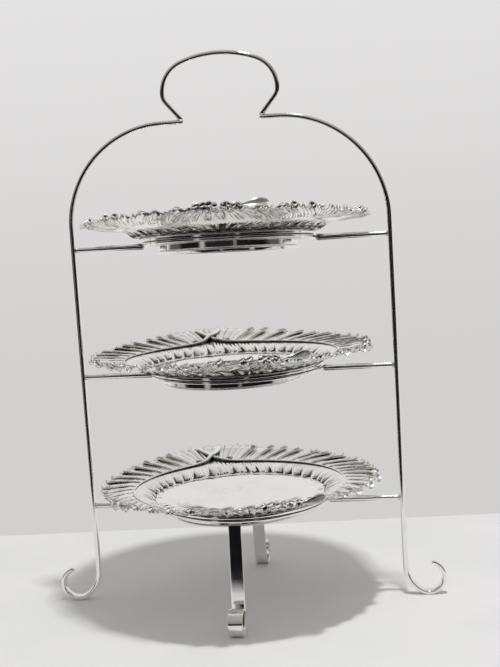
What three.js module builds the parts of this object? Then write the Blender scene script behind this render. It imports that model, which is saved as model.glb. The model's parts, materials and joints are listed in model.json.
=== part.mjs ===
// A three-tier cake stand: a bent-rod frame with a carrying loop, and three loose plates with feather borders.
// Millimetres. Z is up, X runs from rail to rail, and the origin is on the ground under the middle of the stand.
import * as THREE from "three";

// Frame rod
const ROD_ACROSS = 4.0; // rod section in the plane of the frame
const ROD_DEEP = 5.5; // rod section front to back
const RAIL_REACH = 127.6; // from the middle of the stand to the middle of an upright
const NECK_REACH = 30.5; // from the middle of the stand to the inner end of a shoulder
const SHOULDER_HEIGHT = 389.6; // middle of the rod at the shoulders' inner ends
const LEFT_SHOULDER_RADIUS = 80; // bent by hand, so a little tighter than the right one
const RIGHT_SHOULDER_RADIUS = 83;

// Handle loop: a flat crown, round sides that close in below, and straight necks
const STAND_HEIGHT = 443;
const LOOP_CROWN = { radius: 83, turn: 21 }; // turn in degrees, from the top to where the side begins
const LOOP_SIDE_RADIUS = 25;
const LOOP_LOWER_RADIUS = 12;
const NECK_SLOPE = 50; // degrees below level, running inwards

// Feet: a wide bend leads into a tight curl turned outwards. Turns in degrees.
const RAIL_FOOT = { bend: 24, bendTurn: 60, curl: 13.5, curlTurn: 194 };
const RAIL_FOOT_THICKNESS = 2.2;
const RAIL_FOOT_WIDTH = 7.5;
const RAIL_TIP_WIDTH = 4.5;
const LEG_FOOT = { bend: 18, bendTurn: 50, curl: 9.4, curlTurn: 235 };
const LEG_REACH = 86.6; // from the middle of the stand to where the leg touches the ground
const LEG_SPLAY = 5.5; // degrees from upright
const LEG_THICKNESS = 2.0;
const LEG_TOP_WIDTH = 9.8;
const LEG_FOOT_WIDTH = 11.6;

// Hoops and arms
const HOOP_OUTER_RADIUS = 68.7;
const HOOP_THICKNESS = 3.5;
const HOOP_HEIGHT = 5.0;
const HOOP_GROOVE = 0.6;
const ARM_DIAMETER = 4.5;

// Plates. Heights are of the sheet's underside, above the middle of the hoop.
const SHEET = 1.2;
const WELL = { radius: 57.5, height: 0 };
const SEAT = { radius: 61, height: 2.85 };
const FLANGE_FOOT = { radius: 70, height: 3.6 };
const FLANGE_MIDDLE = { radius: 97, height: 12.8 };
const RIM_HEIGHT = 14;
const RIM_EXTRA_HEIGHT = 3.5; // where the quills cross, and opposite, where the feather tips meet
const BARB_COUNT = 36;
const BARB_TIP_RADIUS = 116.5;
const BARB_NOTCH_RADIUS = 110.5;
const BARB_NOTCH_DROP = 1;
const FOOT_RING_RADIUS = 55.5;
const FOOT_RING_WALL = 1.2;
const FOOT_RING_LIP = 0.8;
const FOOT_RING_DROP = 9.0; // lower edge below the middle of the hoop

// Tiers. armHeight: middle of the arms. hoopRise: middle of the hoop above the arms.
// lean: front edge tilted up, degrees. turn: where the feather tips meet, degrees round from the front.
// shift: how far the loose plate sits to the left or right of the middle of its hoop.
const TIERS = [
  { name: "bottom", armHeight: 80.8, hoopRise: 3.0, lean: 1, turn: 22, shift: -4 },
  { name: "middle", armHeight: 188.8, hoopRise: 2.3, lean: 1.3, turn: 19, shift: -4 },
  { name: "top", armHeight: 293.0, hoopRise: 2.3, lean: 5, turn: 4, shift: -1 },
];

const GAP = 0.3; // between soldered or resting pieces
const LATHE_STEPS = 36;

const radians = THREE.MathUtils.degToRad;

function silverMesh(name, geometry) {
  const material = new THREE.MeshStandardMaterial({ color: 0xe4e2df, metalness: 1, roughness: 0.12 });
  const mesh = new THREE.Mesh(geometry, material);
  mesh.name = name;
  return mesh;
}

function meshGeometry(positions, index) {
  const geometry = new THREE.BufferGeometry();
  geometry.setAttribute("position", new THREE.Float32BufferAttribute(positions, 3));
  geometry.setIndex(index);
  return geometry;
}

// A route of straights and arcs in the XZ plane, walked like a turtle. A positive turn is to the left.
class Route {
  constructor(x, z, heading) {
    this.points = [{ x, z, heading }];
  }
  get end() {
    return this.points[this.points.length - 1];
  }
  straight(length) {
    const { x, z, heading } = this.end;
    this.points.push({ x: x + length * Math.cos(heading), z: z + length * Math.sin(heading), heading });
    return this;
  }
  arc(radius, turn, steps) {
    const { x, z, heading } = this.end;
    const r = Math.sign(turn) * radius;
    for (let i = 1; i <= steps; i++) {
      const h = heading + (turn * i) / steps;
      this.points.push({
        x: x + r * (Math.sin(h) - Math.sin(heading)),
        z: z + r * (Math.cos(heading) - Math.cos(h)),
        heading: h,
      });
    }
    return this;
  }
}

function distancesAlong(points) {
  const along = [0];
  for (let i = 1; i < points.length; i++) {
    const step = Math.hypot(points[i].x - points[i - 1].x, points[i].z - points[i - 1].z);
    along.push(along[i - 1] + step);
  }
  return along;
}

// A rod bent in the XZ plane. thickness (in that plane) and width (along Y) are functions of the distance
// along the route. A point may have its own normal, which mitres the rod there.
function bentRod(points, thickness, width, corners = 8) {
  const along = distancesAlong(points);
  const overFlats = 1 / Math.cos(Math.PI / corners);
  const positions = [];
  points.forEach((p, k) => {
    const normal = p.normal ?? { x: -Math.sin(p.heading), z: Math.cos(p.heading) };
    for (let i = 0; i < corners; i++) {
      const angle = (2 * Math.PI * (i + 0.5)) / corners;
      const out = (thickness(along[k]) / 2) * overFlats * Math.sin(angle);
      const across = (width(along[k]) / 2) * overFlats * Math.cos(angle);
      positions.push(p.x + normal.x * out, across, p.z + normal.z * out);
    }
  });
  const index = [];
  for (let k = 0; k + 1 < points.length; k++) {
    for (let i = 0; i < corners; i++) {
      const a = k * corners + i;
      const b = k * corners + ((i + 1) % corners);
      index.push(a, b, b + corners, a, b + corners, a + corners);
    }
  }
  const last = (points.length - 1) * corners;
  for (let i = 1; i + 1 < corners; i++) {
    index.push(0, i + 1, i, last, last + i, last + i + 1);
  }
  return meshGeometry(positions, index);
}

// How far a foot reaches out, and how far it goes down, from the start of its bend to its lowest point
function footExtent(foot, splay) {
  const start = -Math.PI / 2 + splay;
  const handover = start + radians(foot.bendTurn);
  return {
    out: foot.bend * (Math.sin(handover) - Math.sin(start)) - foot.curl * Math.sin(handover),
    down: foot.bend * (Math.cos(handover) - Math.cos(start)) + foot.curl * (1 - Math.cos(handover)),
  };
}

function addFoot(route, foot) {
  return route.arc(foot.bend, radians(foot.bendTurn), 5).arc(foot.curl, radians(foot.curlTurn), 13);
}

// Changes from one value to another between two distances
const blend = (from, to, start, end) => (distance) =>
  THREE.MathUtils.lerp(from, to, THREE.MathUtils.smoothstep(distance, start, end));

// Shoulder, upright and foot in one rod, running out along +X
function sideRail(shoulderRadius) {
  const foot = footExtent(RAIL_FOOT, 0);
  const footStart = foot.down + RAIL_FOOT_THICKNESS / 2;
  const route = new Route(NECK_REACH, SHOULDER_HEIGHT, 0);
  route.straight(RAIL_REACH - shoulderRadius - NECK_REACH).arc(shoulderRadius, -Math.PI / 2, 12);
  route.straight(route.end.z - footStart);
  const flattenFrom = distancesAlong(route.points).pop();
  addFoot(route, RAIL_FOOT);
  const tip = distancesAlong(route.points).pop();
  const flattened = flattenFrom + RAIL_FOOT.bend;
  const widen = blend(ROD_DEEP, RAIL_FOOT_WIDTH, flattenFrom, flattened);
  const narrow = blend(0, RAIL_FOOT_WIDTH - RAIL_TIP_WIDTH, flattened, tip);
  const thickness = blend(ROD_ACROSS, RAIL_FOOT_THICKNESS, flattenFrom, flattened);
  return bentRod(route.points, thickness, (d) => widen(d) - narrow(d));
}

function handleLoop() {
  const top = STAND_HEIGHT - ROD_ACROSS / 2;
  const neckHeading = -Math.PI + radians(NECK_SLOPE);
  const crownHeading = -radians(LOOP_CROWN.turn);
  const half = new Route(0, top, 0).arc(LOOP_CROWN.radius, crownHeading, 4);
  half.arc(LOOP_SIDE_RADIUS, -Math.PI / 2 - crownHeading, 6);
  half.arc(LOOP_LOWER_RADIUS, neckHeading + Math.PI / 2, 3);
  const neckEnd = SHOULDER_HEIGHT + ROD_ACROSS / 2 + GAP;
  half.straight((half.end.z - neckEnd) / Math.sin(radians(NECK_SLOPE)));
  half.end.normal = { x: -1 / Math.sin(neckHeading), z: 0 }; // cut level, to stand on the shoulder
  const mirrored = half.points.slice(1).map((p) => ({
    x: -p.x,
    z: p.z,
    heading: -p.heading,
    normal: p.normal && { x: -p.normal.x, z: 0 },
  }));
  return bentRod([...mirrored.reverse(), ...half.points], () => ROD_ACROSS, () => ROD_DEEP);
}

// A flat strap from under the bottom hoop to its curled foot, running out along +X
function leg(topHeight) {
  const splay = radians(LEG_SPLAY);
  const foot = footExtent(LEG_FOOT, splay);
  const footStart = { x: LEG_REACH - foot.out, z: foot.down + LEG_THICKNESS / 2 };
  const length = (topHeight - footStart.z) / Math.cos(splay);
  const route = new Route(footStart.x - length * Math.sin(splay), topHeight, -Math.PI / 2 + splay);
  addFoot(route.straight(length), LEG_FOOT);
  const tip = distancesAlong(route.points).pop();
  return bentRod(route.points, () => LEG_THICKNESS, blend(LEG_TOP_WIDTH, LEG_FOOT_WIDTH, 0, tip));
}

// A turned shape about Z from an outline of [radius, height] points
function turned(outline, steps = LATHE_STEPS) {
  const points = outline.map(([radius, height]) => new THREE.Vector2(radius, height));
  const geometry = new THREE.LatheGeometry(points, steps).rotateX(Math.PI / 2);
  geometry.deleteAttribute("normal");
  geometry.deleteAttribute("uv");
  return geometry;
}

// Two beads with a groove between them, round the middle of the hoop's height
function hoop() {
  const inner = HOOP_OUTER_RADIUS - HOOP_THICKNESS;
  const half = HOOP_HEIGHT / 2;
  return turned([
    [inner, -half],
    [HOOP_OUTER_RADIUS - HOOP_GROOVE, -half],
    [HOOP_OUTER_RADIUS, -half / 2],
    [HOOP_OUTER_RADIUS - HOOP_GROOVE, 0],
    [HOOP_OUTER_RADIUS, half / 2],
    [HOOP_OUTER_RADIUS - HOOP_GROOVE, half],
    [inner, half],
    [inner, -half],
  ]);
}

// A round rod along +X from the rounded end at the hoop to the flat end at the rail
function arm() {
  const from = HOOP_OUTER_RADIUS + GAP;
  const to = RAIL_REACH - ROD_ACROSS / 2 - GAP;
  const radius = ARM_DIAMETER / 2;
  const outline = [
    [0, from],
    [radius * 0.7, from + radius * 0.3],
    [radius, from + radius],
    [radius, to],
    [0, to],
  ];
  return turned(outline, 10).rotateY(Math.PI / 2);
}

// The plate's underside at a radius on the rim's outline, and all the rings inside it
function plateRings(angle, tip) {
  const raised = Math.cos(angle) ** 2; // 1 where the quills cross and where the tips meet
  const rim = RIM_HEIGHT + RIM_EXTRA_HEIGHT * raised;
  return [
    WELL,
    SEAT,
    FLANGE_FOOT,
    { radius: FLANGE_MIDDLE.radius, height: FLANGE_MIDDLE.height + RIM_EXTRA_HEIGHT * raised * 0.6 },
    {
      radius: tip ? BARB_TIP_RADIUS : BARB_NOTCH_RADIUS,
      height: tip ? rim : rim - BARB_NOTCH_DROP,
    },
  ];
}

// One pressed sheet: flat well, seat over the hoop, and a flange with a notched rim. Angle 0 is -Y.
function plate() {
  const spokes = BARB_COUNT * 2;
  const positions = [0, 0, WELL.height, 0, 0, WELL.height + SHEET];
  const index = [];
  const ringCount = plateRings(0, true).length;
  for (let s = 0; s < spokes; s++) {
    const angle = (2 * Math.PI * s) / spokes;
    for (const ring of plateRings(angle, s % 2 === 0)) {
      const x = ring.radius * Math.sin(angle);
      const y = -ring.radius * Math.cos(angle);
      positions.push(x, y, ring.height, x, y, ring.height + SHEET);
    }
  }
  const at = (spoke, ring, side) => 2 + ((spoke % spokes) * ringCount + ring) * 2 + side;
  for (let s = 0; s < spokes; s++) {
    for (const side of [0, 1]) {
      const face = (a, b, c) => (side ? index.push(a, b, c) : index.push(a, c, b));
      face(side, at(s, 0, side), at(s + 1, 0, side));
      for (let r = 0; r + 1 < ringCount; r++) {
        face(at(s, r, side), at(s, r + 1, side), at(s + 1, r + 1, side));
        face(at(s, r, side), at(s + 1, r + 1, side), at(s + 1, r, side));
      }
    }
    const rim = ringCount - 1;
    index.push(at(s, rim, 0), at(s + 1, rim, 0), at(s + 1, rim, 1));
    index.push(at(s, rim, 0), at(s + 1, rim, 1), at(s, rim, 1));
  }
  return meshGeometry(positions, index);
}

function footRing() {
  const inner = FOOT_RING_RADIUS - FOOT_RING_WALL;
  return turned([
    [inner, -FOOT_RING_DROP],
    [FOOT_RING_RADIUS + FOOT_RING_LIP, -FOOT_RING_DROP],
    [FOOT_RING_RADIUS, -FOOT_RING_DROP + 1.5 * FOOT_RING_LIP],
    [FOOT_RING_RADIUS, WELL.height - GAP],
    [inner, WELL.height - GAP],
    [inner, -FOOT_RING_DROP],
  ]);
}

// Hoop, arms, plate and foot ring of one tier. The hoop leans about the line of its two arms.
function tier({ name, armHeight, hoopRise, lean, turn, shift }) {
  const group = new THREE.Group();
  group.position.z = armHeight;

  const rightArm = silverMesh(`${name}_right_arm`, arm());
  const leftArm = silverMesh(`${name}_left_arm`, arm());
  leftArm.rotation.z = Math.PI;

  const leaning = new THREE.Group();
  leaning.rotation.x = -radians(lean);
  const hoopMesh = silverMesh(`${name}_hoop`, hoop());
  const plateMesh = silverMesh(`${name}_plate`, plate());
  const footRingMesh = silverMesh(`${name}_foot_ring`, footRing());
  for (const mesh of [hoopMesh, plateMesh, footRingMesh]) mesh.position.z = hoopRise;
  for (const mesh of [plateMesh, footRingMesh]) mesh.position.x = shift;
  plateMesh.rotation.z = radians(turn);
  leaning.add(hoopMesh, plateMesh, footRingMesh);

  group.add(rightArm, leftArm, leaning);
  return group;
}

const stand = new THREE.Group();

const rightRail = silverMesh("right_side_rail", sideRail(RIGHT_SHOULDER_RADIUS));
const leftRail = silverMesh("left_side_rail", sideRail(LEFT_SHOULDER_RADIUS));
leftRail.rotation.z = Math.PI;
stand.add(rightRail, leftRail, silverMesh("handle_loop", handleLoop()));

const [bottomTier] = TIERS;
const legTop = bottomTier.armHeight + bottomTier.hoopRise - HOOP_HEIGHT / 2 - GAP;
const hoopTilt = (HOOP_OUTER_RADIUS - HOOP_THICKNESS / 2) * Math.sin(radians(bottomTier.lean));
const frontLeg = silverMesh("front_leg", leg(legTop + hoopTilt));
const backLeg = silverMesh("back_leg", leg(legTop - hoopTilt));
frontLeg.rotation.z = -Math.PI / 2;
backLeg.rotation.z = Math.PI / 2;
stand.add(frontLeg, backLeg);

for (const t of TIERS) stand.add(tier(t));

export default stand;
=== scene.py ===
"""A three-tier cake stand in silver plate: a bent-rod frame and three loose plates with feather borders.

Lengths are millimetres and angles degrees, unless a name says otherwise; mesh_object() turns them into
metres. Z is up, X runs from rail to rail, and the front is -Y. A plate has its own angle, psi: 0 at the
back, where the two quills cross, and 180 at the front, where the two plumes' tips meet.
"""

import json
import math

import bpy
import numpy as np
from mathutils import Matrix, Vector


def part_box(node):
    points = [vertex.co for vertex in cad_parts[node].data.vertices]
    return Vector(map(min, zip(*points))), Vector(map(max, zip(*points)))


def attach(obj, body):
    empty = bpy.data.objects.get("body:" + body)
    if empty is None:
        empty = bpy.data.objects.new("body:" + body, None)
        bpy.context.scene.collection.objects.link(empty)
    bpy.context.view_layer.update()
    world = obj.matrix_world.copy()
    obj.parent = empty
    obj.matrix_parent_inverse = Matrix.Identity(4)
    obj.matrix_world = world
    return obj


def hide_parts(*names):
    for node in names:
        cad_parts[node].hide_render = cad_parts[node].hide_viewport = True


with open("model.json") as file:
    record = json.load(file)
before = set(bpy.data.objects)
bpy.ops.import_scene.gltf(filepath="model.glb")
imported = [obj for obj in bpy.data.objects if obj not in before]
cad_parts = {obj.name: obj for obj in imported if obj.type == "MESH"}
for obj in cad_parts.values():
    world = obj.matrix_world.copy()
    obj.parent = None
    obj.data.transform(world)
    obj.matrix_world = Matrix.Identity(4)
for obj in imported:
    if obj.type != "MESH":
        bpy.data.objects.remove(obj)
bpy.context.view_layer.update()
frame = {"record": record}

MM = 0.001  # metres in a millimetre
CAD_GAP = 0.3  # the CAD leaves this between two pieces that are soldered together

# Frame rod
ROD_ACROSS = 4.0
ROD_DEEP = 5.5
ROD_POWERS = (2.2, 4.5)  # the rod is round on the outside of the frame and nearly flat on the inside
END_ROUNDING = 0.3  # how much smaller a rod's last ring is, as a part of its half thickness
SHOULDER_RADIUS = {"left": 80, "right": 83}

# Rail feet: a wide bend leads into a tight curl turned outwards, and the rod twists on its way there
RAIL_FOOT = {"bend": 24, "bend_turn": 60, "curl": 12.3, "curl_turn": 196}
RAIL_FOOT_THICKNESS = 3.6
RAIL_FOOT_WIDTH = 7.5
RAIL_TIP_WIDTH = 5.5
RAIL_FOOT_TWIST = math.radians(9)
RAIL_TWIST_ARM = 1.35  # from the middle of the foot's section to its rounded edge that meets the ground

# Handle loop: a flat crown, round sides that close in below, and straight necks
LOOP_CROWN = {"radius": 83, "turn": 21}
LOOP_SIDE_RADIUS = 25
LOOP_LOWER_RADIUS = 12
NECK_SLOPE = 50

# Legs
LEG_FOOT = {"bend": 18, "bend_turn": 50, "curl": 9.4, "curl_turn": 235}
LEG_SPLAY = 5.5
LEG_THICKNESS = 2.0
LEG_TOP_WIDTH = 9.8
LEG_FOOT_WIDTH = 11.6
LEG_EXTRA_HEIGHT = 0.8  # closes the gap that the CAD leaves under the hoop

# Hoops and arms
HOOP_HEIGHT = 5.0
HOOP_GROOVE = 0.9
HOOP_STEPS = 192
ARM_STEPS = 32
ARM_BUTTON = 1.25  # the arm's inner end is this many times as thick as the arm
SOLDER_FLARE = 0.9  # how far the solder stands out round the arm at the rail

# Collars under the plates. Heights are above the middle of the hoop.
COLLAR_BOTTOM = -9.0
COLLAR_WALL = 1.2
COLLAR_LIP = 0.75  # radius of the rolled lip
COLLAR_STEPS = 160

# Plates. Heights are above the middle of the hoop.
SHEET = 0.9
FLOOR_TOP = 1.2
WELL_EDGE_RADIUS = 36.0  # the mirror well is flat inside it and dished outside it
SHELF_RADIUS = 68.5
SHELF_TOP = 4.35  # the narrow shelf between the well and the border
BORDER_FOOT_RADIUS = 70.0
BORDER_FOOT_HEIGHT = 4.2
RACHIS_RADIUS = 86.0
PLATE_TURN = {"bottom": 22, "middle": 19, "top": 4}
TIERS = ("bottom", "middle", "top")

FACING = {"right": 0, "left": 180, "front": -90, "back": 90}  # takes a piece built towards +X to its side

scene = bpy.context.scene


# ---------------------------------------------------------------- places read from the frame

def box_mm(node):
    """The low and the high corner of a CAD node's box, in millimetres."""
    low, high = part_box(node)
    return np.array(low) / MM, np.array(high) / MM


def reach_mm(node, side):
    """How far from the middle of the stand a node's box starts and ends, going towards its own side."""
    low, high = box_mm(node)
    reaches = {
        "right": (low[0], high[0]),
        "left": (-high[0], -low[0]),
        "front": (-high[1], -low[1]),
        "back": (low[1], high[1]),
    }
    return reaches[side]


def top_mm(node):
    return box_mm(node)[1][2]


def tier_places(tier):
    """Arm height, hoop radius, and the matrices of the hoop and of the plate, in millimetres."""
    low, high = box_mm(f"{tier}_hoop")
    arm_low, arm_high = box_mm(f"{tier}_left_arm")
    ring_low, ring_high = box_mm(f"{tier}_foot_ring")
    mount = next(m for m in frame["record"]["mounts"] if m["name"] == f"{tier}_plate_floor")
    lean = math.atan2(mount["axis"][1], mount["axis"][2])
    hoop = Matrix.Translation(Vector((low + high) / 2)) @ Matrix.Rotation(-lean, 4, "X")
    shift = (ring_low[0] + ring_high[0]) / 2
    plate = hoop @ Matrix.Translation((shift, 0, 0))
    return {
        "arm_height": (arm_low[2] + arm_high[2]) / 2,
        "hoop_radius": (high[0] - low[0]) / 2,
        "ring_radius": (ring_high[0] - ring_low[0]) / 2,
        "hoop": hoop,
        "plate": plate,
        "turned_plate": plate @ Matrix.Rotation(math.radians(PLATE_TURN[tier]), 4, "Z"),
    }


# ---------------------------------------------------------------- mesh helpers

def mesh_object(name, points, faces, material, matrix=None):
    """A smooth-shaded object from points in millimetres."""
    points = np.asarray(points, float).reshape(-1, 3)
    if matrix is not None:
        m = np.array(matrix)
        points = points @ m[:3, :3].T + m[:3, 3]
    mesh = bpy.data.meshes.new(name)
    mesh.from_pydata((points * MM).tolist(), [], faces)
    mesh.materials.append(material)
    mesh.shade_smooth()
    obj = bpy.data.objects.new(name, mesh)
    scene.collection.objects.link(obj)
    return obj


def add_recess(obj, values):
    """How deep each point lies in a hollow, which sets how much tarnish and painted shade it gets: 0 on
    open metal, and 1 or more where the painted shade turns black.
    """
    attribute = obj.data.attributes.new("recess", "FLOAT", "POINT")
    attribute.data.foreach_set("value", np.asarray(values, np.float32).ravel())


def grid_faces(rows, columns, wrap_rows=False, wrap_columns=False, first=0):
    """Quads of a grid of points numbered row by row."""
    r = np.arange(rows if wrap_rows else rows - 1)
    c = np.arange(columns if wrap_columns else columns - 1)
    r, c = np.meshgrid(r, c, indexing="ij")
    r_next = (r + 1) % rows
    c_next = (c + 1) % columns
    this_row, next_row = r * columns, r_next * columns
    quads = np.stack([this_row + c, this_row + c_next, next_row + c_next, next_row + c], -1)
    return (quads.reshape(-1, 4) + first).tolist()


def end_caps(rings, corners):
    """The two end faces of a tube whose points are numbered ring by ring."""
    last = (rings - 1) * corners
    return [list(range(corners - 1, -1, -1)), list(range(last, last + corners))]


def unit(vectors):
    return vectors / np.linalg.norm(vectors, axis=-1, keepdims=True)


def blend(start, end, t):
    return start + (end - start) * t


def smoothstep(start, end, x):
    """0 up to start, 1 from end on, and a smooth curve between them."""
    t = np.clip((np.asarray(x, float) - start) / (end - start), 0, 1)
    return t * t * (3 - 2 * t)


def finish_piece(obj, body, slot, *nodes):
    """Says which body the piece rides and the CAD nodes whose place it takes. The slot argument is not
    used.
    """
    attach(obj, body)
    if nodes:
        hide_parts(*nodes)
    return obj


# ---------------------------------------------------------------- bent rods

class Route:
    """Straights and arcs in the XZ plane, walked like a turtle. A positive turn is to the left."""

    def __init__(self, x, z, heading):
        self.points = [(x, z, heading)]

    @property
    def end(self):
        return self.points[-1]

    def straight(self, length, steps=1):
        x, z, heading = self.end
        for i in range(1, steps + 1):
            along = length * i / steps
            self.points.append((x + along * math.cos(heading), z + along * math.sin(heading), heading))
        return self

    def arc(self, radius, turn_degrees, steps):
        x, z, heading = self.end
        turn = math.radians(turn_degrees)
        r = math.copysign(radius, turn)
        for i in range(1, steps + 1):
            h = heading + turn * i / steps
            dx = r * (math.sin(h) - math.sin(heading))
            dz = r * (math.cos(heading) - math.cos(h))
            self.points.append((x + dx, z + dz, h))
        return self

    @property
    def along(self):
        """Distance of each point from the start."""
        xz = np.array(self.points)[:, :2]
        return np.concatenate([[0], np.cumsum(np.linalg.norm(np.diff(xz, axis=0), axis=1))])


def rod_section(corners, outside_power, inside_power):
    """A superellipse of half-size 1, with its own exponent on each side: arrays (across, out)."""
    angle = 2 * np.pi * (np.arange(corners) + 0.5) / corners
    c, s = np.cos(angle), np.sin(angle)
    power = np.where(s > 0, outside_power, inside_power)
    return np.sign(c) * np.abs(c) ** (2 / power), np.sign(s) * np.abs(s) ** (2 / power)


def bent_rod(points, thickness, width, twist=0, corners=24, powers=ROD_POWERS):
    """Points and faces of a rod bent in the XZ plane. Thickness, width and twist (radians, about the rod)
    are each one number, or one number for each point. Both ends are rounded over by a smaller ring."""
    across, out = rod_section(corners, *powers)
    route = np.array(points, float)
    x, z, heading = route.T
    half_out = np.broadcast_to(np.asarray(thickness, float) / 2, x.shape).copy()
    half_across = np.broadcast_to(np.asarray(width, float) / 2, x.shape).copy()
    twist = np.broadcast_to(twist, x.shape)
    for end in (0, -1):
        half_across[end] -= END_ROUNDING * half_out[end]
        half_out[end] *= 1 - END_ROUNDING
    side = np.stack([-np.sin(heading), np.zeros(len(x)), np.cos(heading)], -1)
    deep = np.array([0, 1, 0])
    turned_side = side * np.cos(twist)[:, None] - deep * np.sin(twist)[:, None]
    turned_deep = deep * np.cos(twist)[:, None] + side * np.sin(twist)[:, None]
    middle = np.stack([x, np.zeros(len(x)), z], -1)[:, None]
    rings = middle + (out * half_out[:, None])[..., None] * turned_side[:, None]
    rings = rings + (across * half_across[:, None])[..., None] * turned_deep[:, None]
    faces = grid_faces(len(x), corners, wrap_columns=True) + end_caps(len(x), corners)
    return rings.reshape(-1, 3), faces


def foot_extent(foot, splay):
    """From the start of a foot's bend: how far out the middle of its curl lies, and how far down the
    foot goes."""
    start = -math.pi / 2 + splay
    handover = start + math.radians(foot["bend_turn"])
    out = foot["bend"] * (math.sin(handover) - math.sin(start)) - foot["curl"] * math.sin(handover)
    down = foot["bend"] * (math.cos(handover) - math.cos(start)) + foot["curl"] * (1 - math.cos(handover))
    return out, down


def add_foot(route, foot):
    route.arc(foot["bend"], foot["bend_turn"], 20)
    return route.arc(foot["curl"], foot["curl_turn"], 64)


def about_z(angle_degrees):
    return Matrix.Rotation(math.radians(angle_degrees), 4, "Z")


def side_rail(side, material):
    """Shoulder, upright and foot in one rod."""
    node = f"{side}_side_rail"
    neck_reach, _ = reach_mm(node, side)
    _, arm_reach = reach_mm(f"bottom_{side}_arm", side)
    reach = arm_reach + CAD_GAP + ROD_ACROSS / 2
    radius = SHOULDER_RADIUS[side]
    _, down = foot_extent(RAIL_FOOT, 0)
    foot_start = down + RAIL_FOOT_THICKNESS / 2 + RAIL_TWIST_ARM * math.sin(RAIL_FOOT_TWIST)
    route = Route(neck_reach, top_mm(node) - ROD_ACROSS / 2, 0)
    route.straight(reach - radius - neck_reach, 4).arc(radius, -90, 60)
    route.straight(route.end[1] - foot_start, 24)
    flatten_from = route.along[-1]
    add_foot(route, RAIL_FOOT)
    d = route.along
    flattened = flatten_from + RAIL_FOOT["bend"]
    wide = blend(ROD_DEEP, RAIL_FOOT_WIDTH, smoothstep(flatten_from, flattened, d))
    wide = wide - (RAIL_FOOT_WIDTH - RAIL_TIP_WIDTH) * smoothstep(flattened, d[-1], d)
    thick = blend(ROD_ACROSS, RAIL_FOOT_THICKNESS, smoothstep(flatten_from, flattened, d))
    twist = RAIL_FOOT_TWIST * smoothstep(flatten_from, flattened + RAIL_FOOT["bend"], d)
    points, faces = bent_rod(route.points, thick, wide, twist if side == "right" else -twist)
    obj = mesh_object(f"{side}_bent_rail", points, faces, material, about_z(FACING[side]))
    return finish_piece(obj, "stand_frame", "frame_silver", node)


def handle_loop(material):
    """The carrying loop. One half is walked from the crown down to its neck, and the other mirrors it."""
    neck_heading = -180 + NECK_SLOPE
    half = Route(0, top_mm("handle_loop") - ROD_ACROSS / 2, 0)
    half.arc(LOOP_CROWN["radius"], -LOOP_CROWN["turn"], 20)
    half.arc(LOOP_SIDE_RADIUS, -90 + LOOP_CROWN["turn"], 32)
    half.arc(LOOP_LOWER_RADIUS, neck_heading + 90, 16)
    neck_end = top_mm("right_side_rail") - ROD_ACROSS * 0.4  # inside the shoulder that it is soldered to
    half.straight((half.end[1] - neck_end) / math.sin(math.radians(NECK_SLOPE)), 6)
    mirrored = [(-x, z, -heading) for x, z, heading in half.points[1:]]
    points, faces = bent_rod(mirrored[::-1] + half.points, ROD_ACROSS, ROD_DEEP)
    obj = mesh_object("carrying_loop", points, faces, material)
    return finish_piece(obj, "stand_frame", "frame_silver", "handle_loop")


def strap_leg(side, material):
    """A flat strap from under the bottom hoop to its curled foot."""
    node = f"{side}_leg"
    splay = math.radians(LEG_SPLAY)
    out, down = foot_extent(LEG_FOOT, splay)
    _, outermost = reach_mm(node, side)
    curl_middle = outermost - LEG_FOOT["curl"] - LEG_THICKNESS / 2
    foot_start_x = curl_middle - out
    foot_start_z = down + LEG_THICKNESS / 2
    top = top_mm(node) + LEG_EXTRA_HEIGHT
    length = (top - foot_start_z) / math.cos(splay)
    route = Route(foot_start_x - length * math.sin(splay), top, -math.pi / 2 + splay)
    add_foot(route.straight(length, 24), LEG_FOOT)
    wide = blend(LEG_TOP_WIDTH, LEG_FOOT_WIDTH, smoothstep(0, route.along[-1], route.along))
    points, faces = bent_rod(route.points, LEG_THICKNESS, wide, corners=32, powers=(7, 7))
    obj = mesh_object(f"{side}_strap_leg", points, faces, material, about_z(FACING[side]))
    return finish_piece(obj, "stand_frame", "frame_silver", node)


# ---------------------------------------------------------------- turned pieces

def lathe(outline, steps):
    """Points and faces turned about Z from a closed outline of (radius, height), anticlockwise."""
    outline = np.array(outline, float)
    angle = 2 * np.pi * np.arange(steps) / steps
    r = outline[:, 0][:, None]
    x = r * np.cos(angle)
    y = r * np.sin(angle)
    z = np.broadcast_to(outline[:, 1][:, None], x.shape)
    return np.stack([x, y, z], -1).reshape(-1, 3), grid_faces(len(outline), steps, True, True)


def arc_points(middle, radius, start, end, steps):
    """Points of an arc between two angles in degrees."""
    angle = np.radians(np.linspace(start, end, steps + 1))
    return np.stack([middle[0] + radius * np.cos(angle), middle[1] + radius * np.sin(angle)], -1)


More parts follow.
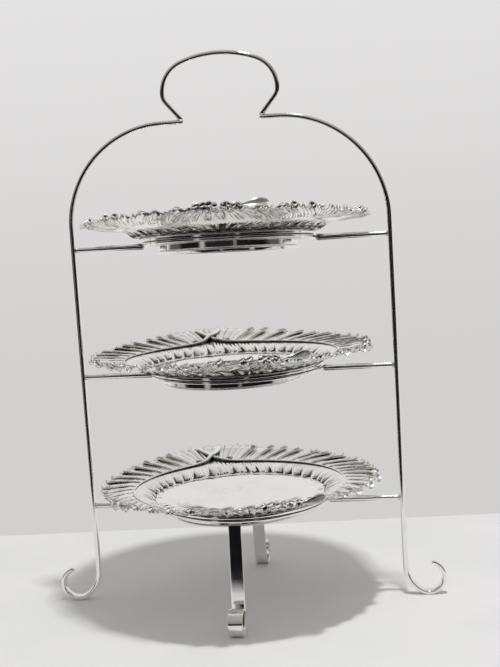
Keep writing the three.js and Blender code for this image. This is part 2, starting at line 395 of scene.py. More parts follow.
def reeded_hoop(tier, places, material):
    """A ring with two flattened beads outside, a groove between them darkened with tarnish and painted
    shade, and a flat inside darkened a little the same way.
    """
    outer = places["hoop_radius"]
    half_bead = HOOP_HEIGHT / 4 - HOOP_GROOVE / 4
    flat, soft = 0.12, 0.8  # powers of the beads' faces; the ring's lower edge is the softer one
    outline = []
    for middle in (half_bead - HOOP_HEIGHT / 2, HOOP_HEIGHT / 2 - half_bead):
        for angle in np.radians(np.linspace(-82, 82, 13)):
            c, up = math.cos(angle), math.sin(angle)
            out = c ** (soft if middle < 0 and up < 0 else flat)
            outline.append((outer - 1.0 + out, middle + half_bead * math.copysign(abs(up) ** 0.6, up)))
        if middle < 0:
            groove = [len(outline), len(outline) + 1]
            outline += [(outer - 1.5, -HOOP_GROOVE / 2), (outer - 1.5, HOOP_GROOVE / 2)]
    inside = [(outer - 3.2, 2.45), (outer - 3.5, 2.1), (outer - 3.5, -2.1), (outer - 3.2, -2.45)]
    outline += inside
    points, faces = lathe(outline, HOOP_STEPS)
    obj = mesh_object(f"{tier}_reeded_hoop", points, faces, material, places["hoop"])
    # the groove is painted dark with tarnish and shade, and the inside a little
    recess = np.zeros((len(outline), HOOP_STEPS))
    recess[groove] = 1.0
    recess[-len(inside):] = 0.3
    add_recess(obj, recess)
    return finish_piece(obj, "stand_frame", "frame_silver", f"{tier}_hoop")


def round_arm(tier, side, places, material):
    """A round rod: a rounded button where it meets the hoop, and a small solder flare at the rail."""
    node = f"{tier}_{side}_arm"
    low, high = box_mm(node)
    inner, outer = reach_mm(node, side)
    thin = (high[2] - low[2]) / 2
    thick = thin * ARM_BUTTON
    start = inner - 0.6
    end = outer + 0.5
    middle = start + thick
    length = end - start - thick - 2
    rounding = np.linspace(0.05, math.pi / 2, 7)
    outline = [(thick * math.sin(t), start + thick * (1 - math.cos(t))) for t in rounding]
    outline += [(blend(thick, thin, f), middle + length * f) for f in (0.3, 0.6, 1)]
    outline += [(thin + SOLDER_FLARE * f * f, end - 1.6 * (1 - f)) for f in np.linspace(0, 1, 6)]
    outline = np.array(outline)
    angle = 2 * np.pi * np.arange(ARM_STEPS) / ARM_STEPS
    x = np.broadcast_to(outline[:, 1][:, None], (len(outline), ARM_STEPS))
    y = outline[:, 0][:, None] * np.cos(angle)
    z = outline[:, 0][:, None] * np.sin(angle) + places["arm_height"]
    points = np.stack([x, y, z], -1).reshape(-1, 3)
    faces = grid_faces(len(outline), ARM_STEPS, wrap_columns=True) + end_caps(len(outline), ARM_STEPS)
    obj = mesh_object(f"{tier}_{side}_round_arm", points, faces, material, about_z(FACING[side]))
    return finish_piece(obj, "stand_frame", "frame_silver", node)


def foot_collar(tier, places, material):
    """The collar soldered under a plate, with a rolled lip at its lower edge."""
    lip = places["ring_radius"]
    wall = lip - 0.8
    inside = wall - COLLAR_WALL
    bottom = COLLAR_BOTTOM
    top = float(well_height(wall)) - SHEET + 0.1
    outline = np.concatenate([
        arc_points((lip - COLLAR_LIP, bottom + COLLAR_LIP), COLLAR_LIP, -90, 75, 10),
        [(wall, bottom + 1.7), (wall, bottom + 1.9), (wall, bottom + 5.0)],
        [(wall, top - 1.7), (wall, top - 1.5)],
        [(wall + 0.5, top - 0.5), (wall + 1.3, top)],
        [(inside, top), (inside, bottom + 4.5), (inside, bottom + 0.4), (inside + 0.3, bottom)],
    ])
    points, faces = lathe(outline, COLLAR_STEPS)
    obj = mesh_object(f"{tier}_foot_collar", points, faces, material, places["plate"])
    return finish_piece(obj, f"{tier}_dish", "plate_silver", f"{tier}_foot_ring")


# ---------------------------------------------------------------- feather plates

COLUMNS = 480  # columns of the border's grid in each plume
INNER_ROWS = 11
OUTER_ROWS = 20
CLUMP_WIDTH = 7.4  # mean width of a clump of outer barbs, in degrees
LOBE_WIDTH = 7.8  # and of an inner lobe
BARBS_PER_CLUMP = 4
BARBS_PER_LOBE = 4
BARB_START_LIMIT = 101  # beside the quills the rachis swings further out than the barbs start
BARB_END_RADIUS = 111.4
BARB_CREST = 0.65  # mean height of barb_ridge(), so that the barbs' relief leaves the sheet where it is
LOCK_END_RADIUS = 109.5
LOCK_THICKNESS = 0.8
UP = np.array([0.0, 0.0, 1.0])
LEAN = 12.5  # how far an outer barb swings round the plate on its way to the rim, in degrees
LEAN_AT_QUILL = 8.0
INNER_LEAN = 4.5
QUILL_START, QUILL_END = -5.4, 118  # psi of the quill's two ends
# how dark the quill's sides and underside are painted: tarnish and painted shade, black in places
QUILL_SIDE_TARNISH_AND_SHADE = 1.3
WELL_RADII = (20, 36, 43, 49, 55, 61, SHELF_RADIUS)  # the first rows of a plate's grid

# Rows of the underside that stand just above the hoop: row of the grid, radius, height
STEP_ROWS = ((6, 68.0, 2.85), (7, 69.9, 2.95), (8, 70.3, 4.5))

# Curls where the tips meet
TIP_CURLS = (
    {"psi": 180, "lean": 0, "bend": 2.8, "turn": 200, "half_width": 2.6},
    {"psi": 176.6, "lean": 40, "bend": 2.5, "turn": 215, "half_width": 2.3},
    {"psi": 173.4, "lean": -30, "bend": 2.3, "turn": 190, "half_width": 2.0},
)


class Clumps:
    """Barbs gather into clumps along a plume. The clumps differ in width and in size, and their barbs
    differ in size too."""

    def __init__(self, random, mean_width, spread, first, barbs):
        edges = [first]
        while edges[-1] < 185:
            edges.append(edges[-1] + mean_width * random.uniform(1 - spread, 1 + spread))
        self.edges = np.array(edges)
        self.size = random.uniform(0.7, 1.3, len(edges))
        self.barbs = barbs
        self.barb_size = random.uniform(0.55, 1.35, (len(edges), barbs))

    def phase(self, u):
        """For each angle u: its place in its clump from 0 to 1, the clump's size, its place in its barb
        from 0 to 1, and the barb's size."""
        index = np.clip(np.searchsorted(self.edges, u, side="right") - 1, 0, len(self.edges) - 2)
        start = self.edges[index]
        phase = (u - start) / (self.edges[index + 1] - start)
        barb = np.clip(phase * self.barbs, 0, self.barbs - 1e-6)
        return phase, self.size[index], barb % 1, self.barb_size[index, barb.astype(int)]


def barb_ridge(barb):
    """Height across one barb, from 0 at its edges to 1 along its middle."""
    return np.sin(np.pi * barb) ** 0.55


def raised_part(psi):
    """1 where the quills cross and where the tips meet, 0 at the sides."""
    return np.cos(np.radians(psi)) ** 2


def border_base(radius, psi):
    """Height of the border's middle surface, without any relief."""
    out = np.maximum(radius - BORDER_FOOT_RADIUS, 0)
    at_sides = 10.9 * (1 - np.exp(-out / 15))
    rim_height = 16.0 + 2.2 * smoothstep(0.6, 1, np.cos(np.radians(psi)))
    at_ends = rim_height * (out / 46) ** 0.9
    return BORDER_FOOT_HEIGHT + blend(at_sides, at_ends, raised_part(psi))


def rachis_radius(psi):
    """The shaft runs round the middle of the border, and swings out to the rim where it becomes the
    quill."""
    swing = np.where(psi > 0, 9 * np.exp(-np.maximum(psi, 0) / 6), 9 - 1.5 * psi + 0.2 * psi ** 2)
    return RACHIS_RADIUS + swing


def barb_start(u):
    return np.minimum(rachis_radius(u), BARB_START_LIMIT)


def polar(radius, psi, height, side):
    """Points of a plate from radius and psi. Side is 1 for the right plume and -1 for the left one."""
    angle = np.radians(psi)
    radius, angle, height = np.broadcast_arrays(radius, angle, height)
    return np.stack([side * radius * np.sin(angle), radius * np.cos(angle), height], -1)


def outer_lean(u):
    """How far round the plate an outer barb that starts at u has swung when it meets the rim."""
    lean = LEAN_AT_QUILL * smoothstep(-2, 14, u) + (LEAN - LEAN_AT_QUILL) * smoothstep(28, 75, u)
    return np.minimum(lean, 0.62 * np.maximum(180 - u, 0))


def inner_lean(u):
    """The same for an inner barb, from the rachis in to the end of its lobe."""
    return np.minimum(INNER_LEAN * smoothstep(-2, 16, u), 0.5 * np.maximum(180 - u, 0))


def plume_grid(clumps, lobes, side, detail):
    """The surface of one plume: (rows, columns, 3), and how deep each point lies in a recess. Detail
    scales the relief of the single barbs."""
    u = np.linspace(0, 180, COLUMNS + 1)
    outer, outer_recess = outer_barbs(u, clumps, side, detail)
    inner, lobe_end, inner_recess, notch = inner_barbs(u, lobes, side, detail)
    # the lobes drop to the shelf round the well
    lip = polar(lobe_end[None] - 0.35, u + inner_lean(u), SHELF_TOP, side)
    grid = np.concatenate([lip, inner, outer])
    # the lip is painted dark as shade below each notch between the lobes
    return grid, np.concatenate([notch[None], inner_recess, outer_recess])


def outer_barbs(u, clumps, side, detail):
    """Rows from the rachis to the rim. Fine barbs lie side by side and end in points that roll up, and
    each clump of them climbs a little over the next one. The down beside the quills isn't clumped."""
    w = np.linspace(0, 1, OUTER_ROWS)[:, None] ** 0.9
    phase, size, barb, barb_size = clumps.phase(u)
    ridge = barb_ridge(barb)
    point = (1 - np.abs(2 * barb - 1)) * barb_size
    clumped = smoothstep(5, 18, u)
    psi = u + outer_lean(u) * w ** 1.2
    start = barb_start(u)
    end = BARB_END_RADIUS + 1.4 * point + 1.2 * (phase - 0.5) * clumped
    # each barb runs straight as far as roll_from, and then rolls up by its own angle
    roll_from = 0.76
    beside = np.exp(-((u - 100) / 40) ** 2)
    roll = np.maximum(np.radians((12 + 45 * point) * (0.6 + 0.9 * beside)), 0.001)
    t = np.clip((w - roll_from) / (1 - roll_from), 0, 1)
    roll_length = (end - start) * (1 - roll_from)
    straight = start + (end - start) * np.minimum(w, roll_from)
    radius = straight + roll_length * np.sin(roll * t) / roll
    lift = roll_length * (1 - np.cos(roll * t)) / roll + 2.4 * (1 - clumped) * w ** 2
    # relief fades out at the rachis, so that the two halves of the plume meet there
    combed = smoothstep(0.0, 0.2, w)
    opened = smoothstep(0.05, 0.5, w) * clumped
    barb_relief = combed * detail * 0.75 * barb_size * (ridge - BARB_CREST)
    clump_relief = opened * size * 1.9 * (phase - 0.6)
    dimple = 1.2 * np.exp(-((u - 8) / 1.3) ** 2 - ((w - 0.14) / 0.09) ** 2)
    height = border_base(straight, psi) + (barb_relief + clump_relief) + lift
    # The recess paints tarnish and shade in the gaps between barbs and in the hollow behind each clump's
    # step, and black painted shade in the dimple beside the quills' crossing.
    between_barbs = combed * (0.75 - 0.45 * clumped) * (1 - ridge)
    behind_clump = opened * 0.5 * np.exp(-(phase / 0.3) ** 2)
    recess = between_barbs + behind_clump + 1.6 * dimple
    return polar(radius, psi, height - dimple, side), recess


def inner_barbs(u, lobes, side, detail):
    """Rows from the edge of the well out to the rachis: barbs that end in rounded lobes, with notches
    between the lobes."""
    v = np.linspace(1, 0, INNER_ROWS, endpoint=False)[:, None]
    phase, size, barb, barb_size = lobes.phase(u)
    ridge = barb_ridge(barb)
    lobe = np.sin(np.pi * phase) ** 0.55
    notch = (1 - lobe) ** 0.9
    start = barb_start(u)
    lobe_end = 76.0 - 6.0 * lobe * size ** 0.5
    radius = start + (lobe_end - start) * v
    psi = u + inner_lean(u) * v ** 1.3
    combed = smoothstep(0.05, 0.3, v)
    relief = smoothstep(0.15, 0.85, v) * (2.1 * lobe * size - 0.7)
    relief = relief + detail * 0.6 * barb_size * combed * (ridge - BARB_CREST)
    relief = relief - 1.5 * notch * smoothstep(0.55, 1.0, v)
    height = border_base(radius, psi) + relief
    # The recess paints tarnish and shade between the barbs, and dark painted shade in the notches between
    # the lobes.
    recess = combed * 0.45 * (1 - ridge) + smoothstep(0.55, 0.95, v) * 1.7 * notch ** 1.5
    return polar(radius, psi, height, side), lobe_end, recess, notch


def well_height(radius):
    """Height of the sheet's upper face: flat in the middle, then dished up to the shelf."""
    return blend(FLOOR_TOP, SHELF_TOP, smoothstep(WELL_EDGE_RADIUS, SHELF_RADIUS - 1.5, radius))


def well_rows(count):
    """The mirror well and the shelf round it, from the middle out, as rows of the plate's grid."""
    angle = 2 * np.pi * np.arange(count) / count
    rows = []
    for r in WELL_RADII:
        rows.append(np.stack([r * np.sin(angle), r * np.cos(angle), np.full(count, well_height(r))], -1))
    return np.stack(rows)


def plate_surface(clumps, lobes, detail):
    """One side of the sheet as a grid of rows from the middle out, wrapped round the plate."""
    right, right_deep = plume_grid(clumps[0], lobes[0], 1, detail)
    left, left_deep = plume_grid(clumps[1], lobes[1], -1, detail)
    middle = (right[:, :1] + left[:, :1]) / 2
    front = (right[:, -1:] + left[:, -1:]) / 2
    ring = np.concatenate([middle, right[:, 1:-1], front, left[:, -2:0:-1]], 1)
    deep = np.concatenate([right_deep, left_deep[:, -2:0:-1]], 1)
    well = well_rows(ring.shape[1])
    return np.concatenate([well, ring]), np.concatenate([np.zeros(well.shape[:2]), deep])


def grid_normals(grid):
    """Unit normals of a grid whose columns wrap, pointing to the side that is up in the well."""
    along = np.gradient(grid, axis=0)
    around = (np.roll(grid, -1, 1) - np.roll(grid, 1, 1)) / 2
    normal = np.cross(around, along)
    normal /= np.maximum(np.linalg.norm(normal, axis=-1, keepdims=True), 1e-9)
    return normal * np.sign(np.mean(normal[0, :, 2]))


def lock(path, across, half_width, hollow, tarnish_and_shade):
    """A hollowed, leaf-shaped lock of barbs along a path: points, faces and recess. Hollow is how far its
    edges stand up above its middle, which holds tarnish and painted shade."""
    across = unit(across)
    out = np.cross(across, unit(np.gradient(path, axis=0)))
    top = np.linspace(-1, 1, 9)
    underside = top[-2:0:-1]
    a = np.concatenate([top, underside])
    below = np.concatenate([np.zeros(len(top)), np.ones(len(underside))])
    depth = hollow[:, None] * (a ** 2 - 0.35)
    depth = depth - below * LOCK_THICKNESS * np.minimum(1, half_width[:, None])
    rings = path[:, None] + across[:, None] * (half_width[:, None] * a)[..., None]
    rings = rings + out[:, None] * depth[..., None]
    count, corners = len(path), len(a)
    faces = grid_faces(count, corners, wrap_columns=True) + end_caps(count, corners)
    # tarnish and painted shade lie along the hollow's middle, and only a tenth as much underneath
    tarnish_and_shade = np.broadcast_to(tarnish_and_shade, count)
    recess = tarnish_and_shade[:, None] * (1 - a ** 4) * np.where(below > 0, 0.1, 1.0)
    return rings.reshape(-1, 3), faces, recess.ravel()


def lock_on_border(edge, side, end_radius, w):
    """The part of a lock that lies on the border, and the directions at its end: on, sideways and up."""
    psi = edge + float(outer_lean(edge)) * w ** 1.2
    start = float(rachis_radius(np.array(edge)))
    radius = start + (end_radius - start) * w
    height = border_base(radius, psi) + 0.2 + 0.3 * w + 0.7 * w ** 3
    ground = polar(radius, psi, height, side)
    heading = unit(ground[-1] - ground[-2])
    sideways = unit(np.cross(heading, UP))
    return ground, heading, sideways, np.cross(sideways, heading)


def rim_lock(edge, side, random):
    """A lock that runs from the rachis over the border and opens out. Its end curls up at the rim. At the
    sides of the plate the locks are bigger, and most of them hang over the rim instead."""
    w = np.linspace(0.06, 1, 13)
    end_radius = LOCK_END_RADIUS + random.uniform(-1, 1)
    ground, heading, sideways, rise = lock_on_border(edge, side, end_radius, w)
    beside = float(smoothstep(72, 92, edge) * smoothstep(165, 150, edge))
    droops = random.uniform(0, 1) < 0.75 * beside
    if droops:
        grown = 1 + 0.45 * beside
        curl = math.radians(random.uniform(45, 85))
        bend = random.uniform(5.0, 6.8) * grown / max(1.0, curl)
        swing = random.uniform(-0.15, 0.45)
        turn_to, tip_power, tip_tarnish_and_shade_power = -rise, 1.7, 1.4
    else:
        grown = 1 - 0.2 * beside
        curl = math.radians(random.uniform(5, 25) + 60 * float(smoothstep(45, 100, edge)))
        bend = random.uniform(4.2, 5.6) / max(1.0, curl)
        swing = 0
        turn_to, tip_power, tip_tarnish_and_shade_power = rise, 3.4, 0.6
    t = np.linspace(0, 1, 10)[1:]
    angle = (curl * t)[:, None]
    turned = np.sin(angle) * heading + (1 - np.cos(angle)) * turn_to
    turned = turned + swing * (t ** 2)[:, None] * sideways * side
    path = np.concatenate([ground, ground[-1] + bend * turned])
    across = np.cross(np.gradient(path, axis=0), UP)
    across[len(ground):] = sideways
    widest = random.uniform(3.3, 4.4) * grown
    tip = np.maximum(1 - t ** tip_power, 0.02)
    shape = np.concatenate([smoothstep(-0.15, 0.9, w), tip]) ** 0.7
    hollow = 1.5 + beside * np.concatenate([smoothstep(0.4, 0.8, w), 1 - 1.6 * t])
    # tarnish and painted shade fill the lock's hollow and fade towards its tip; beside the plate's sides
    # they start further out
    tarnish_and_shade_from = 0.4 * beside
    tarnish_and_shade = smoothstep(tarnish_and_shade_from, tarnish_and_shade_from + 0.3, w)
    tarnish_and_shade = np.concatenate([tarnish_and_shade, (1 - t) ** tip_tarnish_and_shade_power])
    return lock(path, across, widest * shape, hollow * shape, (0.75 + 0.25 * beside) * tarnish_and_shade)


def tip_spoon():
    """The last lock of the right plume turns on edge and lies along the rim as a hollow teardrop."""
    s = np.linspace(0, 1, 22)
    psi = 171.5 - 11 * s
    radius = 114.6 + 1.4 * np.sin(np.pi * s)
    path = polar(radius, psi, border_base(114, psi) - 0.2 + 2.6 * s, 1)
    outward = polar(1, psi, 0.5, 1)
    across = np.cross(np.gradient(path, axis=0), outward)
    widest_at = 0.7
    round_end = np.sqrt(np.maximum(1 - (np.maximum(s - widest_at, 0) / 0.3) ** 2, 0.004))
    half_width = 3.7 * np.minimum(s / widest_at + 0.05, 1) * round_end
    # tarnish and painted shade in the teardrop's hollow
    return lock(path, across, half_width, 0.3 * half_width, 0.6)


def tip_curl(psi, lean, bend, turn, half_width):
    """A small tight curl standing on the rim where the tips of the two plumes meet."""
    t = np.linspace(0, 1, 18)
    angle = (np.radians(turn) * t)[:, None]
    foot = polar(110.5, psi, border_base(112, psi) - 0.4, 1)
    heading = polar(1, psi + lean, 0, 1)
    path = foot + bend * (1 - 0.35 * t[:, None]) * (np.sin(angle) * heading + (1 - np.cos(angle)) * UP)
    shape = np.maximum(1 - t ** 2.5, 0.03) ** 0.6
    across = np.tile(np.cross(heading, UP), (len(t), 1))
    # the curl is painted dark with tarnish and shade, black in places
    return lock(path, across, half_width * shape, 0.9 * shape, 1.3)


def step_under_border(bottom):
    """Moves three rows of the underside, so that the sheet stands down to just above the hoop there."""
    for row, radius, height in STEP_ROWS:
        angle = np.arctan2(bottom[row, :, 0], bottom[row, :, 1])
        bottom[row, :, 0] = radius * np.sin(angle)
        bottom[row, :, 1] = radius * np.cos(angle)
        bottom[row, :, 2] = height


def sheet_faces(rows, columns):
    """Faces of the plate's sheet: the top grid, the underside's grid, the rim between them, and two fans
    that close the middle. The points of the top come first, then the underside's, then the two middles."""
    count = rows * columns
    faces = grid_faces(rows, columns, wrap_columns=True)
    faces += [f[::-1] for f in grid_faces(rows, columns, wrap_columns=True, first=count)]
    rim = (rows - 1) * columns
    middle_top = 2 * count
    for c in range(columns):
        n = (c + 1) % columns
        faces.append([rim + c, rim + n, count + rim + n, count + rim + c])
        faces.append([middle_top, n, c])
        faces.append([middle_top + 1, count + c, count + n])
    return faces


def plate_locks(clumps, random):
    """The locks that stand clear of the sheet: the spoon and curls at the tips, and one lock for each
    clump of both plumes."""
    locks = [tip_spoon()]
    locks += [tip_curl(**shape) for shape in TIP_CURLS]
    for plume, side in zip(clumps, (1, -1)):
        edges = plume.edges[(plume.edges > 10) & (plume.edges < 176)]
        locks += [rim_lock(edge, side, random) for edge in edges]
    return locks


def feather_plate(tier, places, material):
    """One pressed sheet: mirror well, shelf, and a border of two plumes."""
    random = np.random.default_rng(7 + TIERS.index(tier))
    clumps = [Clumps(random, CLUMP_WIDTH, 0.28, -3.0 - 2 * i, BARBS_PER_CLUMP) for i in (0, 1)]
    lobes = [Clumps(random, LOBE_WIDTH, 0.25, -1.0 - 2 * i, BARBS_PER_LOBE) for i in (0, 1)]
    top, deep = plate_surface(clumps, lobes, 1.0)
    smooth, _ = plate_surface(clumps, lobes, 0.8)
    bottom = smooth - SHEET * grid_normals(smooth)
    step_under_border(bottom)
    rows, columns = top.shape[:2]
    # The underside is a little darker all over, gets tarnish and painted shade in its recesses, and a
    # painted black shadow along the row that stands just above the hoop.
    shadow_gap_row = np.exp(-((np.arange(rows) - STEP_ROWS[-1][0]) / 0.9) ** 2)[:, None]
    under_recess = 0.12 + 0.45 * np.minimum(deep, 0.6) + 1.6 * shadow_gap_row
    points = [top.reshape(-1, 3), bottom.reshape(-1, 3), [[0, 0, FLOOR_TOP], [0, 0, FLOOR_TOP - SHEET]]]
    recess = [deep.ravel(), under_recess.ravel(), [0, 0]]
    faces = sheet_faces(rows, columns)
    total = 2 * rows * columns + 2
    for lock_points, lock_faces, lock_recess in plate_locks(clumps, random):
        points.append(lock_points)
        recess.append(lock_recess)
        faces += [[i + total for i in face] for face in lock_faces]
        total += len(lock_points)
    points = np.concatenate(points)
    obj = mesh_object(f"{tier}_feather_plate", points, faces, material, places["turned_plate"])
    add_recess(obj, np.concatenate(recess))
    return finish_piece(obj, f"{tier}_dish", "plate_silver", f"{tier}_plate")


def quill(tier, side, places, material, over):
    """A plume's shaft: it starts as a quill at the rim, crosses the other one, and thins out along the
    border. Over is 1 for the one that lies on top."""
    psi = np.concatenate([np.linspace(QUILL_START, 20, 52), np.linspace(21, QUILL_END, 110)])
    radius = rachis_radius(psi)
    half_width = np.interp(psi, [QUILL_START, 0, 5, 14, 40, QUILL_END], [2.2, 1.9, 1.6, 1.1, 0.85, 0.35])
    crossing = over * 1.7 * np.exp(-(psi / 3.0) ** 2)
    lift = 0.55 + crossing + 0.7 * np.exp(-((psi + 1) / 6) ** 2) - 0.5 * smoothstep(70, QUILL_END, psi)
    middle = polar(radius, psi, border_base(radius, psi) + lift, side)
    tangent = unit(np.gradient(middle, axis=0))
    across = unit(np.cross(tangent, UP))
    out = np.cross(across, tangent)
    corners = 16
    flat, high = rod_section(corners, 5, 2.2)
    rings = middle[:, None] + across[:, None] * (half_width[:, None] * flat)[..., None]
    rings = rings + out[:, None] * (half_width[:, None] * 0.9 * high)[..., None]
    faces = [f[::-1] for f in grid_faces(len(psi), corners, wrap_columns=True)]
    faces += [cap[::-1] for cap in end_caps(len(psi), corners)]
    name = f"{tier}_{'right' if side > 0 else 'left'}_quill"
    obj = mesh_object(name, rings, faces, material, places["turned_plate"])
    # the quill's sides and underside are painted dark with tarnish and shade
    add_recess(obj, np.tile(np.where(high < 0.5, QUILL_SIDE_TARNISH_AND_SHADE, 0.0), len(psi)))
    return finish_piece(obj, f"{tier}_dish", "plate_silver")


# ---------------------------------------------------------------- materials

class Nodes:
    """Short calls for building a node tree."""

    def __init__(self, tree):
        self.tree = tree
        tree.nodes.clear()

    def add(self, kind, **settings):
        node = self.tree.nodes.new(kind)
        for key, value in settings.items():
            setattr(node, key, value)
        return node

    def link(self, output, socket):
        self.tree.links.new(output, socket)

    def put(self, value, socket):
        if hasattr(value, "is_output"):
            self.link(value, socket)
        else:
            socket.default_value = value

    def math(self, operation, a, b=0.0):
        node = self.add("ShaderNodeMath", operation=operation)
        self.put(a, node.inputs[0])
        self.put(b, node.inputs[1])
        return node.outputs[0]

    def map(self, value, low, high, to_low=0.0, to_high=1.0):
        """A smooth step from to_low to to_high as the value goes from low to high."""
        node = self.add("ShaderNodeMapRange", interpolation_type="SMOOTHSTEP")
        self.put(value, node.inputs["Value"])
        node.inputs["From Min"].default_value = low
        node.inputs["From Max"].default_value = high
        node.inputs["To Min"].default_value = to_low
        node.inputs["To Max"].default_value = to_high
        return node.outputs[0]

    def mix_colour(self, factor, a, b):
        node = self.add("ShaderNodeMix", data_type="RGBA")
        self.put(factor, node.inputs[0])
        self.put(a, node.inputs[6])
        self.put(b, node.inputs[7])
        return node.outputs[2]

    def noise(self, scale, detail, vector):
        node = self.add("ShaderNodeTexNoise")
        node.inputs["Scale"].default_value = scale
        node.inputs["Detail"].default_value = detail
        self.link(vector, node.inputs["Vector"])
        return node.outputs[0]

    def surface(self, output_kind, shader):
        """Ends a material's tree or a world's."""
        self.link(shader, self.add(output_kind).inputs["Surface"])


def new_material(name):
    material = bpy.data.materials.new(name)
    material.use_nodes = True
    return material, Nodes(material.node_tree)


def scratched_normal(n, place):
    """Fine polishing scratches, which run level round the object."""
    stretch = n.add("ShaderNodeMapping")
    stretch.inputs["Scale"].default_value = (1.0, 1.0, 9.0)
    n.link(place, stretch.inputs["Vector"])
    bump = n.add("ShaderNodeBump")
    bump.inputs["Strength"].default_value = 0.05
    bump.inputs["Distance"].default_value = 0.0002
    n.link(n.noise(900.0, 1.0, stretch.outputs[0]), bump.inputs["Height"])
    return bump.outputs[0]


# black of the painted shade in the deepest recesses
DEEP_SHADE_BLACK = (0.02, 0.018, 0.016, 1)


def silver(name, colour, roughness, tarnish_and_shade_colour):
    """Polished silver plate: faint clouding, fine polishing scratches, and tarnish and painted shade in
    the recesses, which turns to painted black shade in the deepest ones."""
    material, n = new_material(name)
    place = n.add("ShaderNodeTexCoord").outputs["Object"]
    clouds = n.noise(38.0, 3.0, place)
    smears = n.noise(170.0, 4.0, place)
    clouded = [c * 0.94 for c in colour]
    clean = n.mix_colour(n.map(clouds, 0.35, 0.7), (*colour, 1), (*clouded, 1))
    # tarnish and painted shade follow the recess attribute; small tarnish smears also lie at random on
    # open metal
    recess = n.add("ShaderNodeAttribute", attribute_name="recess").outputs["Fac"]
    patchy = n.math("MULTIPLY", recess, n.map(smears, 0.25, 0.65, 0.55, 1.0))
    in_recesses = n.map(patchy, 0.1, 0.8, 0.0, 0.95)
    on_open_metal = n.map(smears, 0.62, 0.8, 0.0, 0.1)
    tarnish_and_shade = n.math("MAXIMUM", in_recesses, on_open_metal)
    base = n.mix_colour(tarnish_and_shade, clean, (*tarnish_and_shade_colour, 1))
    # painted black shade where the recess is deepest
    base = n.mix_colour(n.map(patchy, 0.8, 1.3, 0.0, 0.9), base, DEEP_SHADE_BLACK)
    shine = n.map(smears, 0.3, 0.75, roughness, roughness * 1.9)
    rough = n.math("ADD", shine, n.math("MULTIPLY", tarnish_and_shade, 0.22))
    shader = n.add("ShaderNodeBsdfPrincipled")
    shader.inputs["Metallic"].default_value = 1.0
    n.link(base, shader.inputs["Base Color"])
    n.link(rough, shader.inputs["Roughness"])
    n.link(scratched_normal(n, place), shader.inputs["Normal"])
    n.surface("ShaderNodeOutputMaterial", shader.outputs[0])
    return material


def cloth_material():
    """A white cloth, faintly uneven in tone."""
    material, n = new_material("pale_floor")
    soft = n.noise(9.0, 2.0, n.add("ShaderNodeTexCoord").outputs["Object"])
    colour = n.mix_colour(n.map(soft, 0.3, 0.7), (0.80, 0.80, 0.80, 1), (0.84, 0.838, 0.834, 1))
    shader = n.add("ShaderNodeBsdfPrincipled")
    shader.inputs["Roughness"].default_value = 0.9
    shader.inputs["Specular IOR Level"].default_value = 0.1
    n.link(colour, shader.inputs["Base Color"])
    n.surface("ShaderNodeOutputMaterial", shader.outputs[0])
    return material


# ---------------------------------------------------------------- surroundings

UPPER_ROOM = (0.40, 0.39, 0.38, 1)
OPENINGS = ((-0.6, 0.07), (0.34, 0.018))  # azimuth of the middle and half width, in radians


def background(n, colour):
    node = n.add("ShaderNodeBackground")
    n.put(colour, node.inputs["Color"])
    return node.outputs[0]


def mix_shaders(n, factor, a, b):
    node = n.add("ShaderNodeMixShader")
    n.link(factor, node.inputs[0])
    n.link(a, node.inputs[1])
    n.link(b, node.inputs[2])
    return node.outputs[0]


def bright_openings(n, x, y):
    """Upright stripes of light behind the camera: 1 inside them and 0 outside."""
    azimuth = n.math("ARCTAN2", x, n.math("MULTIPLY", y, -1.0))
    openings = 0.0
    for middle, half_width in OPENINGS:
        away = n.math("ABSOLUTE", n.math("SUBTRACT", azimuth, middle))
        opening = n.map(away, half_width * 0.8, half_width * 1.2, 1.0, 0.0)
        openings = n.math("MAXIMUM", openings, opening)
    return openings


def room_in_silver(n):
    """What the silver reflects: a pale wall behind the stand, a paler ceiling than the sides, and a front
    that is black low down and grey higher up. Gives the upward part of the direction, and the colour."""
    direction = n.add("ShaderNodeSeparateXYZ")
    n.link(n.add("ShaderNodeTexCoord").outputs["Generated"], direction.inputs[0])
    x, y, z = direction.outputs
    sides = n.mix_colour(n.map(z, 0.1, 0.2), (0.10, 0.092, 0.085, 1), UPPER_ROOM)
    back_wall = n.math("MULTIPLY", n.map(y, 0.12, 0.4), n.map(z, 0.8, 0.95, 1.0, 0.0))
    room = n.mix_colour(back_wall, sides, (0.79, 0.78, 0.77, 1))
    room = n.mix_colour(n.map(z, 0.6, 0.95), room, (0.62, 0.61, 0.60, 1))
    toward_front = n.map(n.math("MULTIPLY", y, -1.0), 0.1, 0.35)
    front = n.mix_colour(n.map(z, 0.12, 0.28), (0.006, 0.006, 0.007, 1), (0.29, 0.28, 0.27, 1))
    front = n.mix_colour(n.map(z, 0.35, 0.8), front, UPPER_ROOM)
    room = n.mix_colour(toward_front, room, front)
    lit = n.math("MULTIPLY", toward_front, bright_openings(n, x, y))
    return z, n.mix_colour(lit, room, (0.42, 0.42, 0.42, 1))


def studio_world():
    """A pale wall all round for the camera, the room for the silver, and an even fill for the rest."""
    world = bpy.data.worlds.new("pale_room")
    scene.world = world
    world.use_nodes = True
    n = Nodes(world.node_tree)
    path = n.add("ShaderNodeLightPath").outputs
    z, room = room_in_silver(n)
    wall = n.mix_colour(n.map(z, -0.2, 0.25), (0.64, 0.63, 0.625, 1), (0.80, 0.79, 0.79, 1))
    fill = background(n, (0.50, 0.495, 0.49, 1))
    shown = mix_shaders(n, path["Is Camera Ray"], fill, background(n, wall))
    seen = mix_shaders(n, path["Is Glossy Ray"], shown, background(n, room))
    n.surface("ShaderNodeOutputWorld", seen)


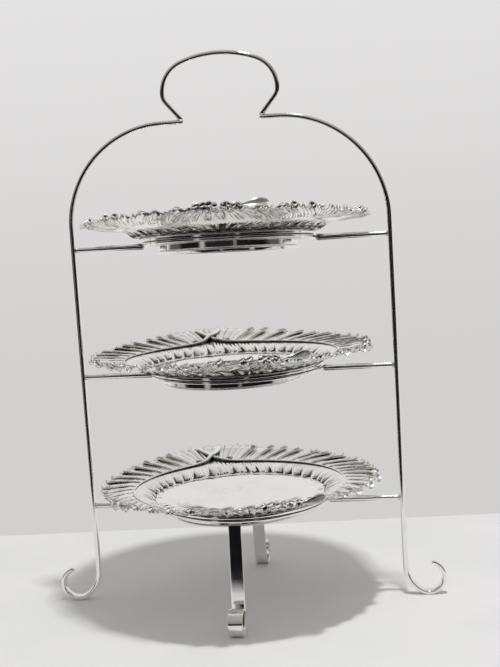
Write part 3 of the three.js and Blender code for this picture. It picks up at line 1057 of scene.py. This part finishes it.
def area_light(name, place, target, size, power):
    """A rectangular lamp in metres and watts, turned towards its target."""
    data = bpy.data.lights.new(name, "AREA")
    data.shape = "RECTANGLE"
    data.size, data.size_y = size
    data.energy = power
    light = bpy.data.objects.new(name, data)
    light.location = place
    light.rotation_euler = (Vector(target) - Vector(place)).to_track_quat("-Z", "Y").to_euler()
    scene.collection.objects.link(light)


def floor_plane(material):
    """A pale floor whose back edge runs askew, further back on the right."""
    half, before, behind, skew = 1500, -290, 208, 108
    points = [(-half, before, 0), (half, before, 0), (half, behind + skew, 0), (-half, behind - skew, 0)]
    obj = mesh_object("pale_floor", points, [[0, 1, 2, 3]], material)


def studio_camera():
    """The camera stands in front of the stand, a little to the right and above its middle, and looks
    slightly down. It is held slightly askew."""
    data = bpy.data.cameras.new("camera")
    data.lens = 65.39
    data.sensor_width = 36
    camera = bpy.data.objects.new("camera", data)
    place = (0.13698, -0.95614, 0.34339)
    yaw, pitch, roll = math.radians(7.434), math.radians(7.357), math.radians(-3.537)
    turn = Matrix.Rotation(yaw, 4, "Z") @ Matrix.Rotation(math.pi / 2 - pitch, 4, "X")
    turn = turn @ Matrix.Rotation(roll, 4, "Z")
    camera.matrix_world = Matrix.Translation(place) @ turn
    scene.collection.objects.link(camera)
    scene.camera = camera


# ---------------------------------------------------------------- the stand

frame_silver = silver("polished_frame_silver", (0.90, 0.89, 0.87), 0.045, (0.07, 0.06, 0.05))
plate_silver = silver("feather_plate_silver", (0.94, 0.93, 0.91), 0.05, (0.16, 0.138, 0.115))

for side in ("left", "right"):
    side_rail(side, frame_silver)
handle_loop(frame_silver)
for side in ("front", "back"):
    strap_leg(side, frame_silver)
for tier in TIERS:
    places = tier_places(tier)
    reeded_hoop(tier, places, frame_silver)
    for side in ("left", "right"):
        round_arm(tier, side, places, frame_silver)
    foot_collar(tier, places, plate_silver)
    feather_plate(tier, places, plate_silver)
    quill(tier, -1, places, plate_silver, over=1)
    quill(tier, 1, places, plate_silver, over=0)

floor_plane(cloth_material())
studio_world()
area_light("key", (0.17, -0.22, 1.80), (0, 0, 0.1), (0.11, 0.11), 16)
studio_camera()
scene.view_settings.view_transform = "Standard"
